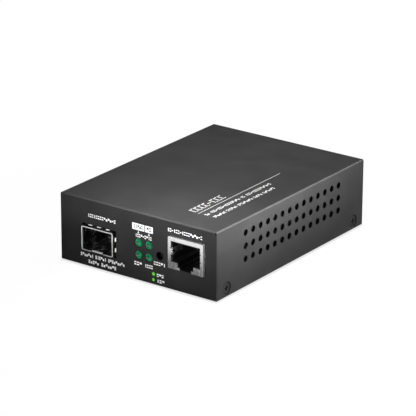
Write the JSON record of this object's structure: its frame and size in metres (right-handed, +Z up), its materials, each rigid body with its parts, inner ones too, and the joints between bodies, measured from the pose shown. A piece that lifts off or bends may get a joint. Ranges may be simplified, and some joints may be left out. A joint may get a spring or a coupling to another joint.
{
  "type": "fibre media converter",
  "caption": "Small metal-cased fibre media converter with a pluggable optics cage, a twisted pair jack, lamps, a recessed reset button and a rear power inlet.",
  "frame": {"origin": "centre of the case's underside, on the surface that it stands on", "axes": "+X to the right seen from the front, +Y to the rear, +Z up; the front panel faces -Y"},
  "size_m": [0.069, 0.0955, 0.0262],
  "materials": {
    "case_paint": "satin powder coat",
    "black_screw": "black zinc",
    "zinc_steel": "zinc plated",
    "cage_metal": "tin plated",
    "spring_metal": "bright",
    "shield_metal": "nickel plated",
    "black_plastic": "moulded",
    "chip_plastic": "moulded",
    "gold_contact": "gold plated",
    "lamp_green": "clear tinted lens",
    "board_laminate": "solder mask",
    "can_metal": "drawn can",
    "ceramic_body": "fired"
  },
  "bodies": {
    "case": {"cover": "case_paint", "base": "case_paint", "cover_screws": "black_screw", "board_standoffs": "zinc_steel", "board_screws": "zinc_steel", "circuit_board": "board_laminate", "sfp_cage": "cage_metal", "sfp_spring_fingers": "spring_metal", "sfp_host_connector": "black_plastic", "sfp_contacts": "gold_contact", "rj45_shield": "shield_metal", "rj45_housing": "black_plastic", "rj45_contacts": "gold_contact", "lamp_upper_left": "lamp_green", "lamp_upper_right": "lamp_green", "lamp_lower_left": "lamp_green", "lamp_lower_right": "lamp_green", "lamp_holder": "black_plastic", "lamp_leads": "zinc_steel", "reset_switch_body": "black_plastic", "reset_switch_bracket": "zinc_steel", "power_inlet_housing": "black_plastic", "power_inlet_pin": "zinc_steel", "power_inlet_spring": "zinc_steel", "lan_transformer": "chip_plastic", "phy_chip": "chip_plastic", "switch_chip": "chip_plastic", "flash_chip": "chip_plastic", "clock_crystal": "can_metal", "input_capacitor": "can_metal", "output_capacitor": "can_metal", "power_inductor": "ceramic_body", "voltage_regulator": "chip_plastic", "chip_resistors": "ceramic_body"},
    "reset_button": {"reset_plunger": "black_plastic"}
  },
  "joints": [
    {"name": "reset_press", "type": "slide", "parent": "case", "child": "reset_button", "axis": [0, 1, 0], "range_m": [0, 0.00025], "stiffness_N_per_m": 2000, "springref_m": -0.0003}
  ]
}
